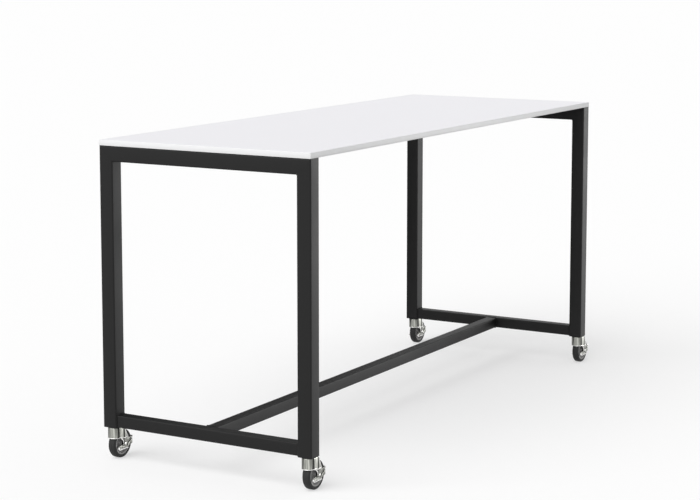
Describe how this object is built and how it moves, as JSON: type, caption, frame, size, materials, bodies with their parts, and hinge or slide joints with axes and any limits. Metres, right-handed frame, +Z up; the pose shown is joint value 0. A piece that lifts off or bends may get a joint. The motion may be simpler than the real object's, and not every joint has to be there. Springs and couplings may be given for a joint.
{
  "type": "standing meeting table",
  "caption": "Standing-height meeting table with a white laminate top on closed square-tube end frames, joined by a low stretcher and rolling on braked swivel castors.",
  "frame": {"origin": "on the floor, straight under the centre of the worktop and midway between the castor stems", "axes": "+X along the length of the worktop, towards the end the castors trail to; +Y across its width, from the front long side to the back; +Z up, out of the worktop"},
  "size_m": [2.157, 0.78, 1.035],
  "materials": {
    "laminate": "white low-sheen laminate on board",
    "edging": "white plastic edging, satin",
    "powder_coat": "black satin powder coat with a fine texture",
    "screw_steel": "zinc-plated screw steel",
    "plug_plastic": "black moulded plastic",
    "zinc": "bright zinc-plated pressed steel",
    "rubber": "dark moulded rubber",
    "wheel_plastic": "grey moulded plastic"
  },
  "bodies": {
    "table_frame": {"top_board": "laminate", "edge_band_front": "edging", "edge_band_back": "edging", "edge_band_left": "edging", "edge_band_right": "edging", "post_left_front": "powder_coat", "post_left_back": "powder_coat", "post_right_front": "powder_coat", "post_right_back": "powder_coat", "top_rail_left": "powder_coat", "top_rail_right": "powder_coat", "bottom_rail_left": "powder_coat", "bottom_rail_right": "powder_coat", "lower_stretcher": "powder_coat", "support_rail_front": "powder_coat", "support_rail_back": "powder_coat", "fixing_tab_left_front": "powder_coat", "fixing_tab_left_back": "powder_coat", "fixing_tab_right_front": "powder_coat", "fixing_tab_right_back": "powder_coat", "fixing_tab_middle_front": "powder_coat", "fixing_tab_middle_back": "powder_coat", "fixing_screw_left_front": "screw_steel", "fixing_screw_left_back": "screw_steel", "fixing_screw_right_front": "screw_steel", "fixing_screw_right_back": "screw_steel", "fixing_screw_middle_front": "screw_steel", "fixing_screw_middle_back": "screw_steel", "post_plug_left_front": "plug_plastic", "post_plug_left_back": "plug_plastic", "post_plug_right_front": "plug_plastic", "post_plug_right_back": "plug_plastic", "castor_stem_left_front": "zinc", "castor_stem_left_back": "zinc", "castor_stem_right_front": "zinc", "castor_stem_right_back": "zinc", "castor_race_left_front": "zinc", "castor_race_left_back": "zinc", "castor_race_right_front": "zinc", "castor_race_right_back": "zinc"},
    "castor_left_front": {"castor_fork_left_front": "zinc", "castor_axle_left_front": "zinc"},
    "wheel_left_front": {"castor_tyre_left_front": "rubber", "wheel_centre_left_front": "wheel_plastic"},
    "brake_left_front": {"brake_lever_left_front": "zinc"},
    "castor_left_back": {"castor_fork_left_back": "zinc", "castor_axle_left_back": "zinc"},
    "wheel_left_back": {"castor_tyre_left_back": "rubber", "wheel_centre_left_back": "wheel_plastic"},
    "brake_left_back": {"brake_lever_left_back": "zinc"},
    "castor_right_front": {"castor_fork_right_front": "zinc", "castor_axle_right_front": "zinc"},
    "wheel_right_front": {"castor_tyre_right_front": "rubber", "wheel_centre_right_front": "wheel_plastic"},
    "brake_right_front": {"brake_lever_right_front": "zinc"},
    "castor_right_back": {"castor_fork_right_back": "zinc", "castor_axle_right_back": "zinc"},
    "wheel_right_back": {"castor_tyre_right_back": "rubber", "wheel_centre_right_back": "wheel_plastic"},
    "brake_right_back": {"brake_lever_right_back": "zinc"}
  },
  "joints": [
    {"name": "swivel_left_front", "type": "hinge", "parent": "table_frame", "child": "castor_left_front", "pos_m": [-1.025, -0.365, 0.1065], "axis": [0, 0, 1], "continuous": true},
    {"name": "roll_left_front", "type": "hinge", "parent": "castor_left_front", "child": "wheel_left_front", "pos_m": [-0.99751, -0.365, 0.047], "axis": [0, 1, 0], "continuous": true},
    {"name": "brake_left_front", "type": "hinge", "parent": "castor_left_front", "child": "brake_left_front", "pos_m": [-0.99751, -0.365, 0.047], "axis": [0, 1, 0], "range_deg": [0, 15]},
    {"name": "swivel_left_back", "type": "hinge", "parent": "table_frame", "child": "castor_left_back", "pos_m": [-1.025, 0.365, 0.1065], "axis": [0, 0, 1], "continuous": true},
    {"name": "roll_left_back", "type": "hinge", "parent": "castor_left_back", "child": "wheel_left_back", "pos_m": [-0.99751, 0.365, 0.047], "axis": [0, 1, 0], "continuous": true},
    {"name": "brake_left_back", "type": "hinge", "parent": "castor_left_back", "child": "brake_left_back", "pos_m": [-0.99751, 0.365, 0.047], "axis": [0, 1, 0], "range_deg": [0, 15]},
    {"name": "swivel_right_front", "type": "hinge", "parent": "table_frame", "child": "castor_right_front", "pos_m": [1.025, -0.365, 0.1065], "axis": [0, 0, 1], "continuous": true},
    {"name": "roll_right_front", "type": "hinge", "parent": "castor_right_front", "child": "wheel_right_front", "pos_m": [1.05249, -0.365, 0.047], "axis": [0, 1, 0], "continuous": true},
    {"name": "brake_right_front", "type": "hinge", "parent": "castor_right_front", "child": "brake_right_front", "pos_m": [1.05249, -0.365, 0.047], "axis": [0, 1, 0], "range_deg": [0, 15]},
    {"name": "swivel_right_back", "type": "hinge", "parent": "table_frame", "child": "castor_right_back", "pos_m": [1.025, 0.365, 0.1065], "axis": [0, 0, 1], "continuous": true},
    {"name": "roll_right_back", "type": "hinge", "parent": "castor_right_back", "child": "wheel_right_back", "pos_m": [1.05249, 0.365, 0.047], "axis": [0, 1, 0], "continuous": true},
    {"name": "brake_right_back", "type": "hinge", "parent": "castor_right_back", "child": "brake_right_back", "pos_m": [1.05249, 0.365, 0.047], "axis": [0, 1, 0], "range_deg": [0, 15]}
  ]
}
